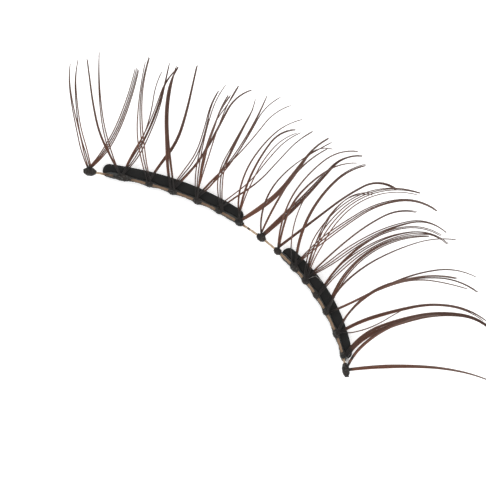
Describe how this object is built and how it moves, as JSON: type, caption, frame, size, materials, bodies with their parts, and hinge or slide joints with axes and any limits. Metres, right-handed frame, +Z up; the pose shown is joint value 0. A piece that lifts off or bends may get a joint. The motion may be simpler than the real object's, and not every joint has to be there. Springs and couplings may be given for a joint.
{
  "type": "false eyelash strip",
  "caption": "Magnetic false eyelash strip: V-shaped tufts of curved lash hair knotted along a curved thread, which runs over curved flat magnet bars.",
  "frame": {"origin": "middle of the long magnet bar's flat underside, which lies on the surface", "axes": "+X from the band's inner end towards its outer end, along the chord between them; +Y from the band towards the lash tips; +Z up from the bars' undersides"},
  "size_m": [0.0507, 0.0178, 0.0087],
  "materials": {
    "tan_thread": "matte",
    "black_magnet": "matte",
    "lash_hair": "satin"
  },
  "bodies": {
    "root": {"band_thread": "tan_thread", "magnet_long": "black_magnet", "magnet_short": "black_magnet", "tuft_01": "lash_hair", "tuft_02": "lash_hair", "tuft_03": "lash_hair", "tuft_04": "lash_hair", "tuft_05": "lash_hair", "tuft_06": "lash_hair", "tuft_07": "lash_hair", "tuft_08": "lash_hair", "tuft_09": "lash_hair", "tuft_10": "lash_hair", "tuft_11": "lash_hair", "tuft_12": "lash_hair", "tuft_13": "lash_hair", "tuft_14": "lash_hair", "tuft_15": "lash_hair", "tuft_16": "lash_hair"}
  },
  "joints": []
}
